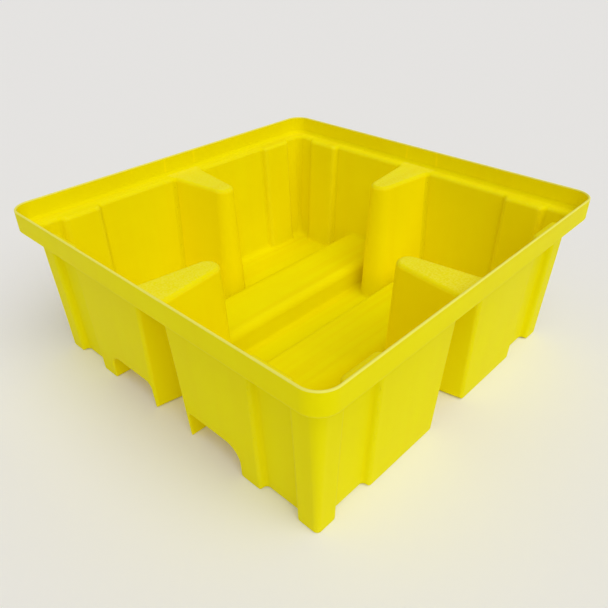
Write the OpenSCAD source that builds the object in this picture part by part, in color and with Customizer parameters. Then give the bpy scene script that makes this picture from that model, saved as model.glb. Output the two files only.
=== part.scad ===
// Spill containment pallet: the open sump base of a four-drum pallet.
// The real base is one rotationally moulded polyethylene shell. It is drawn here as
// the named regions of that shell, and each region ends face to face on the next.
// Z = 0 is the ground and +Z is up. X runs across the fork tunnels and Y along them.
// The front is at -Y, the back at +Y, the left at -X and the right at +X.

/* [Overall size] */
// Width over the rim, across the fork tunnels
pallet_w = 1300; // [1060:10:1600]
// Length over the rim, along the fork tunnels
pallet_l = 1300; // [1060:10:1600]
// Height from the ground to the top of the rim
pallet_h = 525; // [430:5:640]

/* [Moulded skin] */
// Thickness of the moulded skin
skin_t = 7; // [5:0.5:9]
// Lean of the four walls from upright, in degrees
wall_draft = 2.6; // [1:0.1:4]
// Outside radius of the wall corners at the ground
corner_r = 14; // [11:1:30]

/* [Rim and deck ledge] */
// Height of the upstand above the deck ledge
upstand_h = 65; // [40:1:80]
// Thickness of the upstand, whose top edge is fully round
upstand_t = 7; // [5:1:14]
// Overhang of the rim past the outside of the wall, at the ledge
rim_step = 46; // [34:1:60]
// Outside radius of the rim corners
rim_r = 62; // [50:1:80]

/* [Feet and flutes] */
// Width of each corner foot, from the flute to the face of the next wall
corner_foot_w = 66; // [50:1:80]
// Width of each foot between a fork tunnel and its flute
inner_foot_w = 72; // [40:1:80]
// Width of the flutes in the left and right walls
side_flute_w = 141; // [100:1:170]
// Depth of every flute
flute_depth = 20; // [12:1:26]

/* [Fork tunnels] */
// Width of each fork tunnel
tunnel_w = 215; // [175:1:230]
// Height of each fork tunnel
tunnel_h = 98; // [85:1:130]
// Radius of each tunnel's top corner on the outer side
tunnel_outer_r = 50; // [20:1:70]
// Radius of each tunnel's top corner on the inner side
tunnel_inner_r = 22; // [12:1:60]

/* [Buttresses] */
// Width of the notch under each buttress, in the wall's face at the ground
notch_w = 166; // [140:1:205]
// Width of the notch under each buttress, in the wall's face at the ledge
notch_top_w = 114; // [95:1:138]
// Radius of the buttress nose at the ground
nose_r = 57; // [47:1:68]
// Radius of the buttress nose at the ledge
nose_top_r = 38; // [32:1:46]
// Reach of the front and back buttresses into the sump, at the ground
end_reach = 239; // [200:1:290]
// Gap at the floor between each side buttress and the nearer tunnel ridge
drain_gap = 33; // [20:1:50]

/* [Hidden] */
$fn = 48;
hull_fn = 32;
pallet_yellow = [0.91, 0.88, 0.03];

// Heights of the deck ledge's top and underside
ledge_z = pallet_h - upstand_h;
ledge_under = ledge_z - skin_t;

// How far a wall leans out between the ground and the ledge
lean = ledge_under * tan(wall_draft);

// Half sizes of the outside of the walls, at the ground
base_hw = pallet_w / 2 - rim_step - lean;
base_hl = pallet_l / 2 - rim_step - lean;

// Sides of the right-hand tunnel, and of the ridge that it raises in the sump
tunnel_in = notch_w / 2 + skin_t;
tunnel_out = tunnel_in + tunnel_w;
ridge_in = tunnel_in - skin_t;
ridge_out = tunnel_out + skin_t;
ridge_h = tunnel_h + skin_t;

// Flutes: near and far sides, measured along the wall from its middle
end_flute = [tunnel_out + inner_foot_w, base_hw - corner_foot_w];
side_flute = [base_hl - corner_foot_w - side_flute_w, base_hl - corner_foot_w];

// Distance of each buttress nose's centre from the middle of the pallet
end_nose = base_hl - end_reach + nose_r;
side_nose = ridge_out + drain_gap + nose_r;

// Overshoot of cutting solids, and a length past the whole pallet
over = 1;
far = pallet_w + pallet_l;

// Sides are numbered as quarter turns of the front one: 0 front, 1 right, 2 back, 3 left.
// Ends are 0 and 2. Each shape is drawn on the front side and turned into place.
function is_end(side) = side % 2 == 0;
function base_half(side) = is_end(side) ? base_hl : base_hw;
function rim_half(side) = (is_end(side) ? pallet_l : pallet_w) / 2;
function rim_run(side) = (is_end(side) ? pallet_w : pallet_l) - 2 * rim_r;
function flute_span(side) = is_end(side) ? end_flute : side_flute;
function nose_at(side) = is_end(side) ? end_nose : side_nose;

module on_side(side, hand = 1) {
    rotate([0, 0, 90 * side]) mirror([hand < 0 ? 1 : 0, 0, 0]) children();
}

// Quadrants: x and y are +1 or -1
module in_quadrant(x, y) {
    mirror([x < 0 ? 1 : 0, 0, 0]) mirror([0, y < 0 ? 1 : 0, 0]) children();
}

// A strip of leaning wall on the front side, between two depths into the sump and
// between two places along the wall
module wall_strip(half, depth_from, depth_to, along_from, along_to, z_from = 0) {
    slope = tan(wall_draft);
    outer = -half + depth_from;
    inner = -half + depth_to;
    translate([along_from, 0, 0])
        rotate([90, 0, 90])
            linear_extrude(along_to - along_from)
                polygon([
                    [outer - z_from * slope, z_from], [inner - z_from * slope, z_from],
                    [inner - lean, ledge_under], [outer - lean, ledge_under]
                ]);
}

// A rectangle whose two upper corners are round
module arched_section(x_from, x_to, top, r_from, r_to) {
    difference() {
        translate([x_from, -over]) square([x_to - x_from, top + over]);
        translate([x_from, top - r_from]) difference() {
            translate([-over, 0]) square([r_from + over, r_from + over]);
            translate([r_from, 0]) circle(r_from);
        }
        translate([x_to - r_to, top - r_to]) difference() {
            square([r_to + over, r_to + over]);
            circle(r_to);
        }
    }
}

// The right-hand tunnel's space, or with the skin added the ridge over it
module tunnel_form(grow) {
    rotate([90, 0, 0])
        translate([0, 0, -far / 2])
            linear_extrude(far)
                arched_section(tunnel_in - grow, tunnel_out + grow, tunnel_h + grow,
                               tunnel_inner_r + grow, tunnel_outer_r + grow);
}

module both_ridges() {
    for (hand = [0, 1]) mirror([hand, 0, 0]) tunnel_form(skin_t);
}

// Size at height z of something that runs evenly from the ground to the ledge
function at_height(ground, top, z) = ground + (top - ground) * z / ledge_z;

// A front buttress as a closed form: a round nose blended into the wall's face.
// inset is 0 for its outside in the sump, and skin_t for the notch that it covers.
module buttress_form(side, inset, z_from, z_to) {
    half = base_half(side);
    nose = nose_at(side);
    plate = half + lean + 10;
    r_from = at_height(nose_r, nose_top_r, z_from) - inset;
    r_to = at_height(nose_r, nose_top_r, z_to) - inset;
    edge_from = at_height(notch_w / 2, notch_top_w / 2, z_from) + skin_t - inset;
    edge_to = at_height(notch_w / 2, notch_top_w / 2, z_to) + skin_t - inset;
    wide_from = r_from + (edge_from - r_from) * (plate - nose) / (half - nose);
    wide_to = r_to + (edge_to - r_to) * (plate - nose) / (half + lean - nose);
    hull() {
        translate([0, -nose, z_from])
            cylinder(h = z_to - z_from, r1 = r_from, r2 = r_to, $fn = hull_fn);
        translate([0, -plate, 0]) rotate([90, 0, 0]) linear_extrude(over)
            polygon([[-wide_from, z_from], [wide_from, z_from],
                     [wide_to, z_to], [-wide_to, z_to]]);
    }
}

module buttress_outside(side) {
    buttress_form(side, 0, 0, ledge_z);
}

module all_buttresses() {
    for (side = [0:3]) on_side(side) buttress_outside(side);
}

// Rounded rectangle of the rim or of the wall's inner edge, seen from above
module plan(w, l, r) {
    for (turn = [0, 1]) {
        size = turn == 0 ? [w, l - 2 * r] : [w - 2 * r, l];
        square(size, center = true);
    }
    for (x = [-1, 1], y = [-1, 1])
        translate([x * (w / 2 - r), y * (l / 2 - r)]) circle(r);
}

// Section of the upstand, from the ledge's underside up: a plate whose top edge is
// fully round
module upstand_section() {
    straight = skin_t + upstand_h - upstand_t / 2;
    square([upstand_t, straight]);
    translate([upstand_t / 2, straight]) circle(upstand_t / 2);
}

module rim_side(side) {
    run = rim_run(side);
    color(pallet_yellow)
        on_side(side)
            translate([-run / 2, -rim_half(side), ledge_under])
                rotate([90, 0, 90])
                    linear_extrude(run) upstand_section();
}

module rim_corner(x, y) {
    color(pallet_yellow)
        in_quadrant(x, y)
            translate([pallet_w / 2 - rim_r, pallet_l / 2 - rim_r, ledge_under])
                rotate_extrude(angle = 90)
                    translate([rim_r - upstand_t, 0]) upstand_section();
}

// The flat seat of the deck: from the wall's inner face out to the upstand, and
// further in over the back of each flute
module ledge(side) {
    run = rim_run(side) / 2 + rim_r;
    half = rim_half(side);
    mitre = rim_step + lean + corner_foot_w;
    inner_w = 2 * (base_hw + lean - skin_t);
    inner_l = 2 * (base_hl + lean - skin_t);
    inner_r = corner_r + lean - skin_t;
    flute = flute_span(side);
    seat_in = base_half(side) + lean - skin_t;
    color(pallet_yellow) translate([0, 0, ledge_under]) linear_extrude(skin_t) {
        intersection() {
            difference() {
                plan(pallet_w - 2 * upstand_t, pallet_l - 2 * upstand_t, rim_r - upstand_t);
                plan(inner_w, inner_l, inner_r);
            }
            rotate(90 * side)
                polygon([[-run - over, -half - over], [run + over, -half - over],
                         [run - mitre, -half + mitre], [-run + mitre, -half + mitre]]);
        }
        for (start = [flute[0], -flute[1]])
            rotate(90 * side)
                translate([start, -seat_in - over])
                    square([flute[1] - flute[0], flute_depth + over]);
    }
}

// Corner post: the two end strips of neighbouring walls and the round corner
// between them, whose radius grows with height as the walls lean out
module corner_post(x, y) {
    centre = [base_hw - corner_r, base_hl - corner_r];
    color(pallet_yellow) in_quadrant(x, y) {
        mirror([0, 1, 0])
            wall_strip(base_hl, 0, skin_t, end_flute[1], centre[0]);
        rotate([0, 0, 90])
            wall_strip(base_hw, 0, skin_t, side_flute[1], centre[1]);
        translate([centre[0], centre[1], 0]) intersection() {
            difference() {
                cylinder(h = ledge_under, r1 = corner_r, r2 = corner_r + lean);
                cylinder(h = ledge_under, r1 = corner_r - skin_t,
                         r2 = corner_r + lean - skin_t);
            }
            cube([corner_r + lean + over, corner_r + lean + over, ledge_under]);
        }
    }
}

// Flat part of a wall between its notch and a flute, cut away for the fork tunnel
// in the front and back walls
module wall_panel(side, hand) {
    color(pallet_yellow) difference() {
        on_side(side, hand)
            wall_strip(base_half(side), 0, skin_t, 0, flute_span(side)[0]);
        on_side(side) buttress_outside(side);
        if (is_end(side)) both_ridges();
    }
}

// Flute: a flat-bottomed recess outside, which stands out as a pilaster inside
module flute(side, hand) {
    half = base_half(side);
    span = flute_span(side);
    color(pallet_yellow) on_side(side, hand) {
        wall_strip(half, flute_depth, flute_depth + skin_t, span[0], span[1]);
        wall_strip(half, 0, flute_depth, span[0], span[0] + skin_t);
        wall_strip(half, 0, flute_depth, span[1] - skin_t, span[1]);
    }
}

// Buttress: a hollow post with a round nose, open below and through the wall, whose
// flat top carries the deck level with the ledge
module buttress(side) {
    half = base_half(side);
    color(pallet_yellow) difference() {
        on_side(side) difference() {
            buttress_outside(side);
            buttress_form(side, skin_t, -over, ledge_under);
            // Everything outside the wall's face, and the ledge's place above it
            wall_strip(half, -far, 0, -far, far, -over);
            translate([-far / 2, -half - lean + skin_t - far, ledge_under])
                cube([far, far, skin_t + over]);
        }
        if (is_end(side)) both_ridges();
    }
}

// Fork tunnel: a channel right through the pallet from front to back, whose top
// stands in the sump as a ridge
module tunnel(hand) {
    color(pallet_yellow) on_side(0, hand) difference() {
        tunnel_form(skin_t);
        tunnel_form(0);
        for (side = [0, 2]) on_side(side)
            wall_strip(base_hl, -far, 0, -far, far, -over);
        translate([-far / 2, -far / 2, -far]) cube([far, far, far]);
        for (side = [0, 2]) on_side(side)
            buttress_form(side, skin_t, -over, ledge_under);
    }
}

// The whole inside of the sump at floor level, between the leaning walls
module floor_slab() {
    slope = tan(wall_draft);
    difference() {
        translate([-far / 2, -far / 2, 0]) cube([far, far, skin_t]);
        for (side = [0:3]) on_side(side) {
            wall_strip(base_half(side), -far, skin_t, -far, far, -over);
            for (hand = [-1, 1]) on_side(0, hand)
                wall_strip(base_half(side), 0, flute_depth + skin_t,
                           flute_span(side)[0], flute_span(side)[1], -over);
        }
        all_buttresses();
        both_ridges();
        for (x = [-1, 1], y = [-1, 1]) in_quadrant(x, y)
            translate([base_hw - corner_r, base_hl - corner_r, 0]) difference() {
                translate([0, 0, -over]) cube([far, far, skin_t + 2 * over]);
                translate([0, 0, -over])
                    cylinder(h = skin_t + 2 * over,
                             r1 = corner_r - skin_t - over * slope,
                             r2 = corner_r - skin_t + (skin_t + over) * slope);
            }
    }
}

// One quarter of the floor beside a tunnel ridge
module floor_quarter(x, y) {
    color(pallet_yellow) intersection() {
        floor_slab();
        in_quadrant(x, y) translate([ridge_out, 0, 0]) cube([far, far, skin_t]);
    }
}

// The floor of the middle trough, between the two ridges
module floor_trough() {
    color(pallet_yellow) intersection() {
        floor_slab();
        translate([-ridge_in, -far / 2, 0]) cube([2 * ridge_in, far, skin_t]);
    }
}

rim_side(0);  // rim_front
rim_side(1);  // rim_right
rim_side(2);  // rim_back
rim_side(3);  // rim_left
rim_corner(1, -1);  // rim_corner_front_right
rim_corner(1, 1);  // rim_corner_back_right
rim_corner(-1, 1);  // rim_corner_back_left
rim_corner(-1, -1);  // rim_corner_front_left
ledge(0);  // ledge_front
ledge(1);  // ledge_right
ledge(2);  // ledge_back
ledge(3);  // ledge_left
corner_post(1, -1);  // corner_front_right
corner_post(1, 1);  // corner_back_right
corner_post(-1, 1);  // corner_back_left
corner_post(-1, -1);  // corner_front_left
wall_panel(0, -1);  // wall_front_left
wall_panel(0, 1);  // wall_front_right
wall_panel(1, -1);  // wall_right_front
wall_panel(1, 1);  // wall_right_back
wall_panel(2, -1);  // wall_back_right
wall_panel(2, 1);  // wall_back_left
wall_panel(3, -1);  // wall_left_back
wall_panel(3, 1);  // wall_left_front
flute(0, -1);  // flute_front_left
flute(0, 1);  // flute_front_right
flute(1, -1);  // flute_right_front
flute(1, 1);  // flute_right_back
flute(2, -1);  // flute_back_right
flute(2, 1);  // flute_back_left
flute(3, -1);  // flute_left_back
flute(3, 1);  // flute_left_front
buttress(0);  // buttress_front
buttress(1);  // buttress_right
buttress(2);  // buttress_back
buttress(3);  // buttress_left
tunnel(-1);  // tunnel_left
tunnel(1);  // tunnel_right
floor_quarter(1, -1);  // floor_front_right
floor_quarter(1, 1);  // floor_back_right
floor_quarter(-1, 1);  // floor_back_left
floor_quarter(-1, -1);  // floor_front_left
floor_trough();  // floor_middle
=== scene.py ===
# %% [markdown]
# # A spill containment pallet
# The real object is one rotationally moulded shell: powder melts against the inside of a hot,
# turning mould, so the skin is even, every corner is blended, and nothing is fastened to it.
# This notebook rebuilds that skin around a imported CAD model, region by region, and gives it the
# satin, slightly pebbled finish of moulded polyethylene.

# %% [markdown]
# ## The frame comes first
# The CAD model is loaded before anything is made, and its box is kept, because the finished
# skin has to fill the same box.

import math

import bpy
import numpy as np
from mathutils import Matrix, Vector


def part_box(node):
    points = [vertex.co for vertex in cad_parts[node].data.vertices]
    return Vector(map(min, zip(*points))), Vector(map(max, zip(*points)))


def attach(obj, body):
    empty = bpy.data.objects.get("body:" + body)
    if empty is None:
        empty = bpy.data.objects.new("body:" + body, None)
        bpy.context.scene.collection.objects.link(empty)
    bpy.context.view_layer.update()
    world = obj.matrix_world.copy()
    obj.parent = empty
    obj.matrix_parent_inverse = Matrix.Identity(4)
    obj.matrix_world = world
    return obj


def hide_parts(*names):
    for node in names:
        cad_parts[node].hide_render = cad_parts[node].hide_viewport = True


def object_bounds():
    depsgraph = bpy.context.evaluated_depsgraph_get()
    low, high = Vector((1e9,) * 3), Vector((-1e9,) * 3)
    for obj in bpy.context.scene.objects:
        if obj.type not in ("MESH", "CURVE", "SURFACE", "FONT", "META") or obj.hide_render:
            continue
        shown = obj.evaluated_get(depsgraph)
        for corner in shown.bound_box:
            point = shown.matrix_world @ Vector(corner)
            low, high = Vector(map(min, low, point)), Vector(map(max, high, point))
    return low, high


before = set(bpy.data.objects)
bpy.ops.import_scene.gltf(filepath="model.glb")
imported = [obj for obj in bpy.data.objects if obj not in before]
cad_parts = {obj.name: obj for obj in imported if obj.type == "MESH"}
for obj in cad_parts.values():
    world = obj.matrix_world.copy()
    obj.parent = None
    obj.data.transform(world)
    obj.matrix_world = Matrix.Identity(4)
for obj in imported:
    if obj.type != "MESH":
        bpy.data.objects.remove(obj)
cad_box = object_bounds()
print("CAD nodes:", len(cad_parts), "box:", [tuple(round(v, 4) for v in c) for c in cad_box])

# %% [markdown]
# ## Sizes
# Most sizes are read back from the CAD model's nodes, so the skin lands exactly on the frame.
# The blends, which the CAD model leaves sharp, and the tapers, which a box can't tell, are given
# here.

# %% Read the pallet's sizes from the frame
half_w, half_l, top = np.array(cad_box[1], float)

ledge_under, ledge_top = (corner.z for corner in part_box("ledge_front"))
skin_t = ledge_top - ledge_under
rim_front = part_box("rim_front")
upstand_t = rim_front[1].y - rim_front[0].y
rim_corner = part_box("rim_corner_front_right")
rim_r = rim_corner[1].x - rim_corner[0].x

base_l = skin_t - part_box("wall_front_left")[1].y
base_w = skin_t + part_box("wall_right_front")[0].x
wall_slope = (-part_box("wall_front_left")[0].y - base_l) / ledge_under

end_flute = tuple(corner.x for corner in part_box("flute_front_right"))
side_flute = tuple(corner.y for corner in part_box("flute_right_back"))
flute_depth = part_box("flute_front_right")[1].y + base_l - skin_t

ridge_in, ridge_out = (corner.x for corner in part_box("tunnel_right"))
ridge_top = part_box("tunnel_right")[1].z

# Blends and tapers; a buttress's nose and notch narrow from the ground to the ledge.
nose_r = 0.057
nose_top_r = 0.038
notch_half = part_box("buttress_right")[1].y
notch_top_half = 0.064
end_nose = -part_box("buttress_front")[1].y + nose_r
side_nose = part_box("buttress_right")[0].x + nose_r

corner_r = 0.014
ridge_in_r = 0.029
ridge_out_r = 0.057
print(f"skin {skin_t:.4f}, upstand {upstand_t:.4f}, ledge {ledge_top:.4f}, wall at the ground "
      f"{base_w:.4f} by {base_l:.4f}, noses at {end_nose:.4f} and {side_nose:.4f}")

# %% [markdown]
# ## The moulding as a rule
# A moulded tray could be modelled with loops and bevels, but blends of different radius meet at
# every buttress, ridge and flute, and bevels break up there. Here each form is a *distance
# field* instead: a function that is negative inside the form and grows by about a metre a metre.
# Two fields are joined by a round maximum or a round minimum, whose corner is a true arc.

# %% Round joints between two distance fields
def round_max(a, b, radius):
    """The part inside both a and b, with its outer corner rounded."""
    a_in, b_in = a + radius, b + radius
    beyond = np.hypot(np.maximum(a_in, 0), np.maximum(b_in, 0))
    return beyond + np.minimum(np.maximum(a_in, b_in), 0) - radius


def round_min(a, b, radius):
    """The part inside a or b, with its inner corner filled by an arc."""
    return -round_max(-a, -b, radius)


# %% [markdown]
# ## Buttresses and tunnel ridges
# On the real pallet these are dents pushed up into the sump from below. A buttress is a round
# nose that tapers with height, with flat sides that run from the nose to the wall. A ridge is
# the roof of a fork tunnel, with a larger radius on its outer side.

# %% Fields of one buttress and one ridge
def buttress(along, across, z, nose, base, skin):
    """A buttress on a wall: along the wall, and across it from the middle of the pallet."""
    share = z / ledge_top
    radius = nose_r + (nose_top_r - nose_r) * share - skin
    edge = notch_half + (notch_top_half - notch_half) * share - skin
    reach = base + wall_slope * z - nose
    spread = np.arccos(radius / np.hypot(edge, reach)) - np.arctan2(reach, edge)
    u, v = np.abs(along), nose - across
    flat_side = u * np.cos(spread) + v * np.sin(spread) - radius
    on_nose = v * np.cos(spread) > u * np.sin(spread)
    return np.where(on_nose, np.hypot(u, v) - radius, flat_side)


def ridge(x, z, skin):
    """The roof and sides of a fork tunnel."""
    roof = z - (ridge_top - skin)
    inner = round_max(ridge_in + skin - x, roof, ridge_in_r - skin)
    outer = round_max(x - (ridge_out - skin), roof, ridge_out_r - skin)
    return np.where(x < (ridge_in + ridge_out) / 2, inner, outer)


# %% [markdown]
# ## Two faces of one skin
# The face towards the liquid has large blends, which let the powder flow and the sump drain.
# The face towards the ground copies the mould's own sharper edges. Both come from one function:
# `skin` moves every plane by the thickness, and each face brings its own radii.

# %% Radii of the two faces
liquid_face = {"floor": 0.024, "flute_edge": 0.019, "flute_foot": 0.009, "buttress": 0.012,
               "ridge": 0.014, "rim": 0.014, "ledge": 0.013, "sump_corner": 0.030}
ground_face = {"floor": 0.004, "flute_edge": 0.012, "flute_foot": 0.013, "buttress": 0.011,
               "ridge": 0.005, "rim": 0.007, "ledge": 0.006, "sump_corner": 0.0}
sway = 0.0006
sway_from, sway_to, sway_fade = 0.04, 0.42, 0.10
sump_corner_height = 0.12


def wall_sway(p):
    """Moulded walls cool unevenly: a slow wave of half a millimetre, none at rim and floor."""
    x, y, z = p[..., 0], p[..., 1], p[..., 2]
    fade = np.clip((z - sway_from) / sway_fade, 0, 1) * np.clip((sway_to - z) / sway_fade, 0, 1)
    wave = np.sin(9.1 * x + 4.3 * z + 0.7) * np.cos(8.3 * y - 6.1 * z) + np.sin(17.0 * (x - y) + 11.0 * z)
    return sway * fade * wave / 2


def moulding(p, skin, radii):
    """Negative inside the tray that one face of the skin bounds."""
    x, y, z = np.abs(p[..., 0]), np.abs(p[..., 1]), p[..., 2]
    upright = 1 / math.hypot(1, wall_slope)
    out_x = (x - (base_w - skin_t + skin) - wall_slope * z) * upright
    out_y = (y - (base_l - skin_t + skin) - wall_slope * z) * upright
    low_down = np.clip(1 - z / sump_corner_height, 0, 1)
    corner = corner_r - skin_t + skin + wall_slope * z + radii["sump_corner"] * low_down ** 2
    tray = round_max(out_x, out_y, corner) + wall_sway(p)
    tray = round_max(tray, skin_t - skin - z, radii["floor"])

    for out, along, span in ((out_y, x, end_flute), (out_x, y, side_flute)):
        middle, half = (span[0] + span[1]) / 2, (span[1] - span[0]) / 2 - skin
        pilaster = round_max(-out - flute_depth, np.abs(along - middle) - half, radii["flute_edge"])
        tray = round_max(tray, -pilaster, radii["flute_foot"])

    for along, across, nose, base in ((x, y, end_nose, base_l), (y, x, side_nose, base_w)):
        tray = round_max(tray, -buttress(along, across, z, nose, base, skin), radii["buttress"])
    tray = round_max(tray, -ridge(x, z, skin), radii["ridge"])

    setback = 0.0 if skin else upstand_t
    plan = round_max(x - (half_w - setback), y - (half_l - setback), rim_r - setback)
    over = round_max(plan, ledge_top - skin - z, radii["rim"])
    return round_min(tray, over, radii["ledge"])


def plastic(p):
    """Negative inside the plastic itself: outside the liquid's space, inside the outer form."""
    return np.maximum(-moulding(p, 0.0, liquid_face), moulding(p, skin_t, ground_face))


# %% [markdown]
# ## Where to look closely
# The field is sampled on a grid of planes. Flat stretches need few planes, while a blend or the
# 7 mm skin seen edge-on needs one every three or four millimetres, so the planes are graded:
# each zone runs from one place to the next with its own step.

# %% Graded sampling planes
fine, medium, coarse = 0.0034, 0.0044, 0.0115


def graded(start, *zones):
    """Planes from start on; each zone gives where it ends and its largest step."""
    lines = [start]
    for end, step in zones:
        count = max(1, math.ceil((end - lines[-1]) / step))
        lines.extend(np.linspace(lines[-1], end, count + 1)[1:])
    return np.array(lines)


def both_sides(lines):
    return np.concatenate([-lines[::-1], lines])


bead_r = upstand_t / 2
bead_z = top - bead_r
deep = flute_depth + skin_t + 0.006
x_lines = both_sides(graded(
    0.003, (0.024, 0.006), (ridge_in + ridge_in_r + 0.006, medium), (ridge_out - ridge_out_r - 0.004, coarse),
    (ridge_out + 0.006, 0.004), (side_nose - nose_r - 0.004, 0.0055), (end_flute[0] + 0.020, 0.004),
    (side_nose + 0.012, 0.0053), (end_flute[1] - 0.018, coarse), (end_flute[1] + 0.010, 0.004),
    (base_w - deep, 0.0055), (half_w + 0.004, fine)))
y_lines = both_sides(graded(
    0.003, (0.024, 0.006), (notch_half + 0.032, medium), (end_nose - nose_r - 0.008, 0.013),
    (side_flute[0] + 0.020, 0.0042), (end_nose + 0.012, 0.0053), (side_flute[1] - 0.018, coarse),
    (side_flute[1] + 0.010, 0.004), (base_l - deep, 0.0055), (half_l + 0.004, fine)))
z_lines = np.concatenate([
    [-0.0045], graded(-0.0015, (0.0300, 0.0030), (0.0500, 0.0046), (ridge_top + 0.006, 0.0036),
                      (ledge_under - 0.012, 0.0130), (ledge_top + 0.022, 0.0029), (bead_z - 0.004, 0.0095)),
    [bead_z + 0.004, bead_z + 0.010]])
lines = (x_lines, y_lines, z_lines)
print("planes:", [len(line) for line in lines])

# %% [markdown]
# ## One number for each sample
# Each crossing of three planes is a sample, and the field tells whether it lies in the plastic.
# The planes along X are taken a few at a time, which keeps the memory small.

# %% Sample the field
slice_planes = 16
grid = np.stack(np.meshgrid(*[line.astype(np.float32) for line in lines], indexing="ij"), axis=-1)
slices = [plastic(grid[i:i + slice_planes]) for i in range(0, len(x_lines), slice_planes)]
value = np.concatenate(slices).astype(np.float64)
solid = value < 0
print(f"{solid.sum()} of {solid.size} samples lie in the plastic")

# %% [markdown]
# ## Surface nets
# Where the field changes sign between two neighbouring samples, the surface crosses that grid
# edge. Each cell that is crossed gets one vertex, at the mean of its crossings, and each crossed
# edge gets one quad between the four cells around it.

# %% Find the crossings and one vertex for each crossed cell
cell_shape = tuple(n - 1 for n in value.shape)
ring = ((-1, -1), (0, -1), (0, 0), (-1, 0))


def cells_around(axis, at):
    """The four cells around each grid edge along axis, anticlockwise seen from its far end."""
    first, second = (axis + 1) % 3, (axis + 2) % 3
    around = []
    for step_first, step_second in ring:
        cell = [at[0], at[1], at[2]]
        cell[first] = cell[first] + step_first
        cell[second] = cell[second] + step_second
        around.append(np.ravel_multi_index(cell, cell_shape, mode="clip"))
    return np.stack(around, axis=-1)


cell_ids, cell_points = [], []
for axis in range(3):
    near = np.moveaxis(value, axis, 0)[:-1]
    far = np.moveaxis(value, axis, 0)[1:]
    crossed = np.moveaxis((near < 0) != (far < 0), 0, axis)
    at = np.nonzero(crossed)
    v_near = value[at]
    beyond = tuple(at[k] + (k == axis) for k in range(3))
    share = v_near / (v_near - value[beyond])
    point = np.stack([lines[k][at[k]] for k in range(3)], axis=-1)
    point[:, axis] += share * (lines[axis][beyond[axis]] - point[:, axis])
    inner = np.all([(at[k] > 0) & (at[k] < value.shape[k] - 1) for k in range(3) if k != axis], axis=0)
    cell_ids.append(cells_around(axis, [a[inner] for a in at]).ravel())
    cell_points.append(np.repeat(point[inner], 4, axis=0))

crossed_cells, vertex_of = np.unique(np.concatenate(cell_ids), return_inverse=True)
crossings = np.bincount(vertex_of)
cell_points = np.concatenate(cell_points)
on_skin = np.stack([np.bincount(vertex_of, cell_points[:, k]) / crossings for k in range(3)], axis=-1)
print("vertices on the skin:", len(on_skin))

# %% [markdown]
# ## Onto the exact surface
# The mean of a cell's crossings lies a little off the surface. A few Newton steps drop each
# vertex onto it, and the field's slope there is the exact normal, so no smoothing is needed.

# %% Settle the vertices on the exact surface
probe = 0.0002
newton_steps = 4
least_steepness = 0.25


def slope_of(field, p, step=probe):
    """The field's gradient, from one sample on each side along each axis."""
    offsets = np.eye(3) * step
    return np.stack([(field(p + o) - field(p - o)) / (2 * step) for o in offsets], axis=-1)


for _ in range(newton_steps):
    gradient = slope_of(plastic, on_skin)
    steep = np.maximum((gradient ** 2).sum(-1), least_steepness)
    on_skin -= (plastic(on_skin) / steep)[:, None] * gradient
skin_normal = slope_of(plastic, on_skin)
skin_normal /= np.linalg.norm(skin_normal, axis=-1, keepdims=True)
print(f"largest distance left from the surface: {np.abs(plastic(on_skin)).max() * 1000:.4f} mm")

# %% [markdown]
# ## Which region each bit of plastic belongs to
# The CAD model names the regions of the one skin: rims, ledges, walls, flutes, buttresses,
# tunnels and floors. Each sample in the plastic is given to one of them, by the same rules that
# shape it. The cuts between regions lie inside the plastic, and no seam shows, because
# neighbours share the same vertices and the same normals.

# %% Find where every sample of the plastic lies
at = np.nonzero(solid & (grid[..., 2] < bead_z))
point = np.stack([lines[k][at[k]] for k in range(3)], axis=-1)
px, py, pz = point.T
ax, ay = np.abs(px), np.abs(py)
end_wise = ay - half_l > ax - half_w
end_name = np.where(py < 0, "front", "back")
flank_name = np.where(px < 0, "left", "right")
side_name = np.where(end_wise, end_name, flank_name)
hand_name = np.where(end_wise, flank_name, end_name)
in_x = ax - (base_w - skin_t) - wall_slope * pz
in_y = ay - (base_l - skin_t) - wall_slope * pz
from_wall = np.maximum(in_x, in_y)
print("samples to name:", len(px))


def joined(*parts):
    """Joins words and arrays of words with underscores."""
    name = parts[0]
    for part in parts[1:]:
        name = np.char.add(np.char.add(name, "_"), part)
    return name


# %% [markdown]
# ### Floors and walls
# The rules run from the broadest to the most particular, and each later one overrules the
# earlier ones where it holds. The floor comes first, then the walls that rise from it. The foot
# of a ridge goes with its tunnel, as far as the blend reaches.

# %% Name floors, the feet of the ridges, and walls
floor_cut = 0.055
ridge_foot = 0.030
clear_of_wall = 0.020
above_floor = 0.030
region = np.where(ax < (ridge_in + ridge_out) / 2, "floor_middle", joined("floor", end_name, flank_name))
high_up = pz > floor_cut
region = np.where(high_up, joined("wall", side_name, hand_name), region)
beside_ridge = (ridge(ax, pz, 0.0) < ridge_foot) & (from_wall < -clear_of_wall) & (pz > above_floor)
region = np.where(beside_ridge, joined("tunnel", flank_name), region)
in_wall = from_wall > -0.001
region = np.where(in_wall, joined("wall", side_name, hand_name), region)
print("so far:", len(set(region.tolist())), "regions")

# %% [markdown]
# ### Flutes, corners, tunnels and buttresses
# These stand out from the broad forms. A sample that lies within two millimetres of a ridge's
# or a buttress's own form belongs to it.

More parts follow.
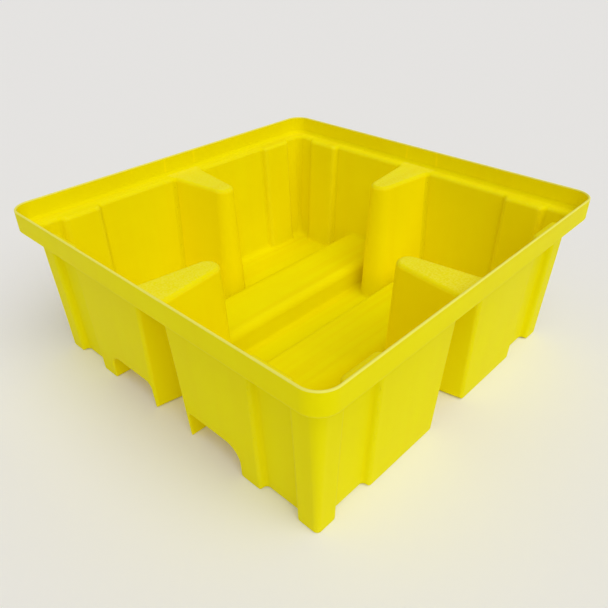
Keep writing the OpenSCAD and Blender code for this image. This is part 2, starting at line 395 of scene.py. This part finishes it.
# %% Name flutes, corners, tunnels and buttresses
own_form = 0.002
for out, along, span, own, hand in ((in_y, ax, end_flute, end_name, flank_name),
                                    (in_x, ay, side_flute, flank_name, end_name)):
    in_flute = (along > span[0]) & (along < span[1]) & (out > -flute_depth - 0.001)
    region = np.where(in_flute, joined("flute", own, hand), region)
in_corner = (in_wall | high_up) & (ax > end_flute[1]) & (ay > side_flute[1])
region = np.where(in_corner, joined("corner", end_name, flank_name), region)
region = np.where(ridge(ax, pz, 0.0) < own_form, joined("tunnel", flank_name), region)
by_end = buttress(ax, ay, pz, end_nose, base_l, 0.0) < own_form
by_side = buttress(ay, ax, pz, side_nose, base_w, 0.0) < own_form
region = np.where(by_end, joined("buttress", end_name), region)
region = np.where(by_side, joined("buttress", flank_name), region)
print("so far:", len(set(region.tolist())), "regions")

# %% [markdown]
# ### Ledges and rims
# The ledge and the upstand run round the top. A buttress keeps its own top, so the ledge stops
# where the buttress leaves the wall.

# %% Name ledges and rims, and number every sample
ledge_cut = ledge_under - 0.009
rim_cut = ledge_top + 0.020
in_ledge = (pz > ledge_cut) & ~((by_end | by_side) & ~in_wall)
region = np.where(in_ledge, joined("ledge", side_name), region)
in_rim = pz > rim_cut
in_rim_corner = in_rim & (ax > half_w - rim_r) & (ay > half_l - rim_r)
region = np.where(in_rim, joined("rim", side_name), region)
region = np.where(in_rim_corner, joined("rim_corner", end_name, flank_name), region)

names = sorted(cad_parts)
number = {name: n + 1 for n, name in enumerate(names)}
label = np.zeros(value.shape, np.int8)
label[at] = [number[name] for name in region.tolist()]
print("regions found:", len(set(region.tolist())), "of", len(names))

# %% [markdown]
# ## Wear follows the shape
# Handling marks gather on edges that stand proud and on the tops that carry the deck. The
# field's second difference measures how sharply the surface bends, so each vertex stores how
# exposed it is, and the material reads it as an attribute.

# %% Measure how exposed each vertex is
bend_span = 0.003
bend = sum(plastic(on_skin + o) + plastic(on_skin - o) for o in np.eye(3) * bend_span)
bend = (bend - 6 * plastic(on_skin)) / bend_span ** 2
exposed = np.clip((bend - 25) / 90, 0, 1)
# How hollow each spot is: the glow is lowered there, and the material paints shade there.
hollow = np.clip((-bend - 12) / 60, 0, 1)
skin_x, skin_y = np.abs(on_skin[:, 0]), np.abs(on_skin[:, 1])
skin_z, facing_up = on_skin[:, 2], skin_normal[:, 2]
on_ledge = np.abs(skin_z - ledge_top) < 0.004
deck_seat = np.clip((np.abs(facing_up) - 0.9) * 10, 0, 1) * on_ledge
from_buttress = np.minimum(buttress(skin_x, skin_y, skin_z, end_nose, base_l, 0.0),
                           buttress(skin_y, skin_x, skin_z, side_nose, base_w, 0.0))
seat_wear = deck_seat * np.clip(0.5 - from_buttress / 0.010, 0.15, 1)
print(f"exposed vertices: {(exposed > 0.5).sum()}, on the deck's seats: {(deck_seat > 0.5).sum()}")

# %% [markdown]
# ## Light that comes through the plastic
# Yellow polyethylene lets a little light through, so shaded walls look warm instead of grey.
# It could be rendered with real scattering through the skin, which takes far longer. Here a
# faint glow, stored on the vertices, stands in for it: an even trace all over, more in the
# notches, the tunnels and the sump, and less in the sump's hollows and near its floor. The
# amounts are tuned to this light and aren't a property of the plastic.

# %% Give each vertex its share of glow
glow_everywhere = 0.030
glow_in_notch = 0.110
glow_in_tunnel = 0.05
glow_in_sump = 0.045
glow_on_buttress = 0.060
in_notch = (np.clip(-from_buttress / 0.012 - 0.2, 0, 1) * (facing_up < 0.5)
            * (skin_z < ledge_under - 0.001))
in_tunnel = ridge(skin_x, skin_z, skin_t) < 0.002
in_sump = moulding(on_skin, 0.0, liquid_face) < 0.001
lit_wall = in_sump * (1 - 0.7 * hollow) * np.clip(skin_z / 0.12, 0.3, 1)
on_buttress = np.clip(1.5 - np.abs(from_buttress) / 0.004, 0, 1) * (np.abs(facing_up) < 0.5)
glow = (glow_everywhere + glow_in_notch * in_notch + glow_in_tunnel * in_tunnel
        + lit_wall * (glow_in_sump + glow_on_buttress * on_buttress))
print(f"glow from {glow.min():.3f} to {glow.max():.3f}")

# %% [markdown]
# ## From samples to meshes
# A region's mesh is the boundary of its own samples. Where the neighbour is air, the face lies
# on the skin. Where the neighbour is another region, the face is a hidden cut, which closes the
# piece so that every region is a solid of its own.

# %% Find the quads of one region
def region_faces(code):
    """Quads of cells around one region, facing out of it, and which of them are hidden cuts."""
    found = np.nonzero(label == code)
    lo = [max(int(f.min()) - 1, 0) for f in found]
    hi = [int(f.max()) + 2 for f in found]
    block = tuple(slice(a, b) for a, b in zip(lo, hi))
    mine, filled = label[block] == code, solid[block]
    quads, cuts, facing = [], [], []
    for axis in range(3):
        near, far = (np.moveaxis(mine, axis, 0)[part] for part in (slice(None, -1), slice(1, None)))
        for outward in (True, False):
            edge = np.moveaxis((near & ~far) if outward else (~near & far), 0, axis)
            here = np.nonzero(edge)
            there = tuple(here[k] + (k == axis) for k in range(3))
            around = cells_around(axis, [here[k] + lo[k] for k in range(3)])
            quads.append(around if outward else around[:, ::-1])
            cuts.append(filled[there if outward else here])
            normal = np.zeros((len(around), 3))
            normal[:, axis] = 1 if outward else -1
            facing.append(normal)
    return np.concatenate(quads), np.concatenate(cuts), np.concatenate(facing)


# %% Turn the quads into a named piece
cell_middles = [(line[1:] + line[:-1]) / 2 for line in lines]


def build_region(name, material):
    """One named piece of the skin, closed by its cuts, with the field's own normals."""
    quads, cuts, facing = region_faces(number[name])
    cells, corner = np.unique(quads, return_inverse=True)
    corner = corner.reshape(quads.shape)
    spot = np.searchsorted(crossed_cells, cells).clip(max=len(crossed_cells) - 1)
    known = crossed_cells[spot] == cells
    ijk = np.unravel_index(cells, cell_shape)
    middle = np.stack([cell_middles[k][ijk[k]] for k in range(3)], axis=-1)
    points = np.where(known[:, None], on_skin[spot], middle)
    normals = np.where(known[:, None], skin_normal[spot], 0.0)
    by_corner = np.where(cuts[:, None, None], facing[:, None, :], normals[corner])

    mesh = bpy.data.meshes.new("moulded_" + name)
    mesh.vertices.add(len(points))
    mesh.vertices.foreach_set("co", points.ravel())
    mesh.loops.add(corner.size)
    mesh.loops.foreach_set("vertex_index", corner.ravel().astype(np.int32))
    mesh.polygons.add(len(corner))
    mesh.polygons.foreach_set("loop_start", np.arange(0, corner.size, 4, dtype=np.int32))
    mesh.update(calc_edges=True)
    for title, amount in (("exposed", exposed), ("hollow", hollow), ("seat_wear", seat_wear), ("glow", glow)):
        stored = mesh.attributes.new(title, "FLOAT", "POINT")
        stored.data.foreach_set("value", np.where(known, amount[spot], 0.0).astype(np.float32))
    mesh.normals_split_custom_set(by_corner.reshape(-1, 3).tolist())
    mesh.materials.append(material)
    piece = bpy.data.objects.new("moulded_" + name, mesh)
    bpy.context.scene.collection.objects.link(piece)
    return piece


# %% [markdown]
# ## Moulded polyethylene
# The finish is satin: light spreads in a soft, broad gloss. Up close the surface is pebbled like
# orange peel, at a scale of about a millimetre. From a step back it shows faint vertical draw
# marks on the walls, marks along the troughs, and slow changes of shade, like those of a skin
# that is thicker in places. The patterns read Object coordinates, so nothing slides when the
# camera moves.

# %% Helpers for the material's nodes
def add_node(tree, kind, **settings):
    """Adds a node; a name that is a socket sets that socket, and any other sets a property."""
    node = tree.nodes.new(kind)
    for name, setting in settings.items():
        socket = node.inputs.get(name.replace("_", " "))
        if socket is not None:
            socket.default_value = setting
        else:
            setattr(node, name, setting)
    return node


def noise(tree, coordinates, stretch, scale, detail=3.0, rough=0.5):
    """A noise whose grain is stretched by a factor along each axis."""
    mapping = add_node(tree, "ShaderNodeMapping", Scale=stretch)
    texture = add_node(tree, "ShaderNodeTexNoise", Scale=scale, Detail=detail, Roughness=rough)
    tree.links.new(coordinates, mapping.inputs["Vector"])
    tree.links.new(mapping.outputs["Vector"], texture.inputs["Vector"])
    return texture.outputs["Fac"]


def remap(tree, source, from_low, from_high, to_low=0.0, to_high=1.0):
    node = add_node(tree, "ShaderNodeMapRange", From_Min=from_low, From_Max=from_high,
                    To_Min=to_low, To_Max=to_high)
    tree.links.new(source, node.inputs["Value"])
    return node.outputs["Result"]


def math_node(tree, operation, a, b):
    node = add_node(tree, "ShaderNodeMath", operation=operation)
    for slot, source in enumerate((a, b)):
        if isinstance(source, (int, float)):
            node.inputs[slot].default_value = source
        else:
            tree.links.new(source, node.inputs[slot])
    return node.outputs[0]


def mix_colour(tree, share, under, over):
    """Lays one colour over another by a share; each is a socket or a colour."""
    node = add_node(tree, "ShaderNodeMix", data_type="RGBA")
    tree.links.new(share, node.inputs[0])
    for slot, source in ((6, under), (7, over)):
        if isinstance(source, tuple):
            node.inputs[slot].default_value = source
        else:
            tree.links.new(source, node.inputs[slot])
    return node.outputs[2]


# %% [markdown]
# ### Grain and wear
# Five noises carry the finish, from slow changes of shade down to the peel. Colour, gloss and
# relief share them, so a rubbed spot is paler and duller at once, as on the real plastic.

# %% Grain and wear of the surface
def stored_value(tree, title):
    """A value that each vertex carries."""
    return add_node(tree, "ShaderNodeAttribute", attribute_name=title).outputs["Fac"]


def surface_grain(tree):
    """The noises that colour, gloss and relief share."""
    where = add_node(tree, "ShaderNodeTexCoord").outputs["Object"]
    return {"shade": noise(tree, where, (1, 1, 1), 3.2, 2.0),
            "draw_marks": noise(tree, where, (17, 17, 1.3), 1.0, 3.0, 0.55),
            "trough_marks": noise(tree, where, (30, 1.2, 30), 1.0, 3.0, 0.5),
            "peel": noise(tree, where, (1, 1, 1), 620.0, 2.0),
            "rubs": noise(tree, where, (1, 1, 1), 170.0, 5.0, 0.6)}


def surface_wear(tree, grain):
    """How scuffed each spot is: a little on exposed edges, more on the deck's seats."""
    rubbed = remap(tree, grain["rubs"], 0.40, 0.64)
    at_edge = math_node(tree, "MULTIPLY", stored_value(tree, "exposed"), rubbed)
    at_seat = math_node(tree, "MULTIPLY", stored_value(tree, "seat_wear"), rubbed)
    return math_node(tree, "MAXIMUM", math_node(tree, "MULTIPLY", at_edge, 0.30),
                     math_node(tree, "MULTIPLY", at_seat, 0.80))


# %% [markdown]
# ### Colour
# The plastic is coloured all through, so every layer is a yellow: lemon in slow patches, warm
# in marks, and pale where it is scuffed. Two layers are painted light: a painted shade of warm
# yellow in the hollows, and a painted highlight of pale yellow along the rim's bead. The streaks
# lie only on level faces, which the surface's own normal picks out.

# %% Colour of the plastic
yellow = (0.835, 0.770, 0.0003, 1)
warm = (0.820, 0.690, 0.0002, 1)
lemon = (0.860, 0.805, 0.0005, 1)
scuffed = (0.890, 0.850, 0.070, 1)
pale = (0.920, 0.890, 0.200, 1)


def plastic_colour(tree, grain, worn):
    """Lays slow changes of shade, marks, streaks, painted shade in the hollows, wear and the bead's painted
    highlight over one another.
    """
    facing = add_node(tree, "ShaderNodeSeparateXYZ")
    tree.links.new(add_node(tree, "ShaderNodeNewGeometry").outputs["Normal"], facing.inputs[0])
    level = remap(tree, facing.outputs["Z"], 0.55, 0.9)
    marks = remap(tree, grain["draw_marks"], 0.40, 0.75, 0.0, 0.22)
    streak = math_node(tree, "MULTIPLY", remap(tree, grain["trough_marks"], 0.45, 0.70, 0.0, 0.55), level)
    # Painted shade: hollow spots are mixed towards the warmer, darker yellow.
    painted_hollow_shade = math_node(tree, "MULTIPLY", stored_value(tree, "hollow"), 0.25)
    colour = mix_colour(tree, remap(tree, grain["shade"], 0.30, 0.70), yellow, lemon)
    # The last layer is the bead's painted highlight: the whole bead is mixed towards pale yellow.
    for share, over in ((marks, warm), (streak, warm), (painted_hollow_shade, warm), (worn, scuffed),
                        (stored_value(tree, "painted_lip_highlight"), pale)):
        colour = mix_colour(tree, share, colour, over)
    return colour


# %% [markdown]
# ### Relief
# The relief is under a millimetre, far too fine for the mesh, so it is a bump. Its heights are
# in metres, because the bump's own distance is left at one.

# %% Relief of the plastic
peel_height = 0.00010
draw_height = 0.00060
rub_height = 0.00010


def plastic_relief(tree, grain):
    """A bump of peel, draw marks and rubs."""
    height = math_node(tree, "ADD", math_node(tree, "MULTIPLY", grain["peel"], peel_height),
                       math_node(tree, "MULTIPLY", grain["draw_marks"], draw_height))
    height = math_node(tree, "ADD", height, math_node(tree, "MULTIPLY", grain["rubs"], rub_height))
    bump = add_node(tree, "ShaderNodeBump", Strength=0.8, Distance=1.0)
    tree.links.new(height, bump.inputs["Height"])
    return bump.outputs["Normal"]


# %% [markdown]
# ### The finished plastic
# One material serves the whole moulding. The gloss is broad and tinted yellow, and worn spots
# are duller. The stored glow feeds the emission.

# %% The yellow polyethylene
def polyethylene():
    material = bpy.data.materials.new("moulded_polyethylene")
    material.use_nodes = True
    tree = material.node_tree
    shader = tree.nodes["Principled BSDF"]
    grain = surface_grain(tree)
    worn = surface_wear(tree, grain)
    gloss = math_node(tree, "ADD", remap(tree, grain["shade"], 0.3, 0.7, 0.42, 0.50),
                      math_node(tree, "MULTIPLY", worn, 0.20))
    glow_here = remap(tree, stored_value(tree, "glow"), 0, 1)
    tree.links.new(plastic_colour(tree, grain, worn), shader.inputs["Base Color"])
    tree.links.new(gloss, shader.inputs["Roughness"])
    tree.links.new(glow_here, shader.inputs["Emission Strength"])
    tree.links.new(plastic_relief(tree, grain), shader.inputs["Normal"])
    shader.inputs["IOR"].default_value = 1.50
    shader.inputs["Specular IOR Level"].default_value = 0.035
    shader.inputs["Specular Tint"].default_value = (1.0, 0.95, 0.15, 1)
    shader.inputs["Emission Color"].default_value = (1.0, 0.55, 0.0, 1)
    return material


skin_material = polyethylene()
print("material nodes:", len(skin_material.node_tree.nodes))

# %% [markdown]
# ## Every region in place
# Each region rides on the one body, replaces the CAD node of the same name, and takes the
# polyethylene slot.

# %% Build every region and fix it to the frame
total = 0
for name in names:
    piece = build_region(name, skin_material)
    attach(piece, "root")
    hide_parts(name)
    total += len(piece.data.polygons)
print("regions:", len(names), "quads:", total)

# %% [markdown]
# ## The rim's round bead
# The upstand ends in a full round bead that runs all the way round the pallet. It follows a
# path, so it is a Geometry Nodes sweep: a rectangle with rounded corners carries a circle. Its
# sides meet the upstand's faces where both stand upright, so the two flow into each other.

# %% A node group that sweeps a bead round a rounded rectangle
def bead_group():
    tree = bpy.data.node_groups.new("rim_bead", "GeometryNodeTree")
    sockets = tree.interface
    sockets.new_socket("Geometry", in_out="OUTPUT", socket_type="NodeSocketGeometry")
    for title in ("Width", "Length", "Height", "Corner Radius", "Bead Radius"):
        sockets.new_socket(title, in_out="INPUT", socket_type="NodeSocketFloat")
    for title in ("Corner Steps", "Bead Steps"):
        sockets.new_socket(title, in_out="INPUT", socket_type="NodeSocketInt")
    sockets.new_socket("Material", in_out="INPUT", socket_type="NodeSocketMaterial")
    given = tree.nodes.new("NodeGroupInput").outputs
    outline = add_node(tree, "GeometryNodeCurvePrimitiveQuadrilateral")
    rounded = add_node(tree, "GeometryNodeFilletCurve", mode="POLY")
    raised = add_node(tree, "GeometryNodeSetPosition")
    lift = add_node(tree, "ShaderNodeCombineXYZ")
    profile = add_node(tree, "GeometryNodeCurvePrimitiveCircle")
    sweep = add_node(tree, "GeometryNodeCurveToMesh")
    # A painted highlight: every point of the bead stores 0.7 of it, and the material mixes the bead that far
    # towards pale yellow.
    mark = add_node(tree, "GeometryNodeStoreNamedAttribute", data_type="FLOAT", domain="POINT",
                    Name="painted_lip_highlight", Value=0.70)
    smooth = add_node(tree, "GeometryNodeSetShadeSmooth")
    realize = add_node(tree, "GeometryNodeRealizeInstances")
    finish = add_node(tree, "GeometryNodeSetMaterial")
    result = tree.nodes.new("NodeGroupOutput")
    for source, target in (
            (given["Width"], outline.inputs["Width"]), (given["Length"], outline.inputs["Height"]),
            (outline.outputs["Curve"], rounded.inputs["Curve"]),
            (given["Corner Radius"], rounded.inputs["Radius"]),
            (given["Corner Steps"], rounded.inputs["Count"]),
            (rounded.outputs["Curve"], raised.inputs["Geometry"]),
            (given["Height"], lift.inputs["Z"]), (lift.outputs["Vector"], raised.inputs["Offset"]),
            (raised.outputs["Geometry"], sweep.inputs["Curve"]),
            (given["Bead Steps"], profile.inputs["Resolution"]),
            (given["Bead Radius"], profile.inputs["Radius"]),
            (profile.outputs["Curve"], sweep.inputs["Profile Curve"]),
            (sweep.outputs["Mesh"], mark.inputs["Geometry"]),
            (mark.outputs["Geometry"], smooth.inputs["Geometry"]),
            (smooth.outputs["Geometry"], realize.inputs["Geometry"]),
            (realize.outputs["Geometry"], finish.inputs["Geometry"]),
            (given["Material"], finish.inputs["Material"]),
            (finish.outputs["Geometry"], result.inputs["Geometry"])):
        tree.links.new(source, target)
    return tree


# %% [markdown]
# ## A plain mesh from the sweep
# The node group runs on an object whose mesh is empty, and its result is kept as an ordinary
# mesh, so the bead rides on the frame like every other piece.

# %% Turn the sweep into a plain mesh
def piece_from_nodes(name, group, settings):
    """Runs a node group on an object with an empty mesh and keeps the result as a plain mesh."""
    holder = bpy.data.objects.new(name + "_nodes", bpy.data.meshes.new(name + "_nodes"))
    bpy.context.scene.collection.objects.link(holder)
    modifier = holder.modifiers.new("nodes", "NODES")
    modifier.node_group = group
    for item in group.interface.items_tree:
        if item.in_out == "INPUT" and item.name in settings:
            modifier[item.identifier] = settings[item.name]
    bpy.context.view_layer.update()
    seen = holder.evaluated_get(bpy.context.evaluated_depsgraph_get())
    mesh = bpy.data.meshes.new_from_object(seen)
    mesh.name = name
    bpy.data.objects.remove(holder)
    piece = bpy.data.objects.new(name, mesh)
    bpy.context.scene.collection.objects.link(piece)
    return piece


bead = piece_from_nodes("rim_bead", bead_group(), {
    "Width": 2 * (half_w - bead_r), "Length": 2 * (half_l - bead_r), "Height": bead_z,
    "Corner Radius": rim_r - bead_r, "Bead Radius": bead_r, "Corner Steps": 24, "Bead Steps": 32,
    "Material": skin_material})
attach(bead, "root")
print("bead quads:", len(bead.data.polygons), "materials:", [m.name for m in bead.data.materials])

# %% [markdown]
# ## Studio
# A plain pale floor, one very broad sun from the right and above, and an even sky that fills
# the shadows. The sun stands to the right, so the right-hand walls read lighter than the
# left-hand ones.

# %% Floor
floor_reach = 200.0
floor_z = -0.001


def plain_material(name, colour, rough):
    material = bpy.data.materials.new(name)
    material.use_nodes = True
    shader = material.node_tree.nodes["Principled BSDF"]
    shader.inputs["Base Color"].default_value = colour
    shader.inputs["Roughness"].default_value = rough
    shader.inputs["Specular IOR Level"].default_value = 0.0
    return material


floor_mesh = bpy.data.meshes.new("studio_floor")
floor_corners = [(x * floor_reach, y * floor_reach, floor_z) for x, y in ((-1, -1), (1, -1), (1, 1), (-1, 1))]
floor_mesh.from_pydata(floor_corners, [], [(0, 1, 2, 3)])
floor_mesh.materials.append(plain_material("pale_floor", (0.92, 0.92, 0.92, 1), 0.9))
studio_floor = bpy.data.objects.new("studio_floor", floor_mesh)
bpy.context.scene.collection.objects.link(studio_floor)
print("floor reaches", floor_reach, "m each way")


# %% Sun and sky
def soft_sun(name, direction, spread, strength):
    """A sun that shines from a direction, softened as if from a broad panel."""
    data = bpy.data.lights.new(name, "SUN")
    data.energy, data.angle = strength, math.radians(spread)
    lamp = bpy.data.objects.new(name, data)
    lamp.rotation_euler = Vector(direction).to_track_quat("Z", "Y").to_euler()
    bpy.context.scene.collection.objects.link(lamp)
    return lamp


key = soft_sun("key", (0.27, -0.07, 0.40), spread=60, strength=1.53)
print("sun:", key.data.energy, "spread over", round(math.degrees(key.data.angle)), "degrees")

world = bpy.data.worlds.new("studio")
bpy.context.scene.world = world
world.use_nodes = True
sky = world.node_tree.nodes["Background"]
sky.inputs["Color"].default_value = (1, 0.97, 0.93, 1)
sky.inputs["Strength"].default_value = 0.45
bpy.context.scene.view_settings.view_transform = "Standard"

# %% [markdown]
# ## Camera
# The view is from above the near corner, turned a little off the diagonal. A camera is easiest
# to read as a target, two angles, a roll and a distance, from which its matrix follows.

# %% Place the camera
azimuth, elevation, roll = (math.radians(a) for a in (43.58, 33.16, -0.66))
distance = 2.37416
target = Vector((-0.15263, 0.15133, 0.0))
focal_length, sensor = 36.302566, 36
back = Vector((math.sin(azimuth) * math.cos(elevation), -math.cos(azimuth) * math.cos(elevation),
               math.sin(elevation)))
across = Vector((math.cos(azimuth), math.sin(azimuth), 0))
upward = back.cross(across)
turned = across * math.cos(roll) + upward * math.sin(roll)
raised = upward * math.cos(roll) - across * math.sin(roll)
optics = bpy.data.cameras.new("camera")
optics.sensor_width = sensor
optics.lens = focal_length
optics.clip_end = 1000
camera = bpy.data.objects.new("camera", optics)
place = target + back * distance
camera.matrix_world = Matrix((
    (turned.x, raised.x, back.x, place.x), (turned.y, raised.y, back.y, place.y),
    (turned.z, raised.z, back.z, place.z), (0, 0, 0, 1)))
bpy.context.scene.collection.objects.link(camera)
bpy.context.scene.camera = camera
print("camera at", [round(v, 4) for v in place])
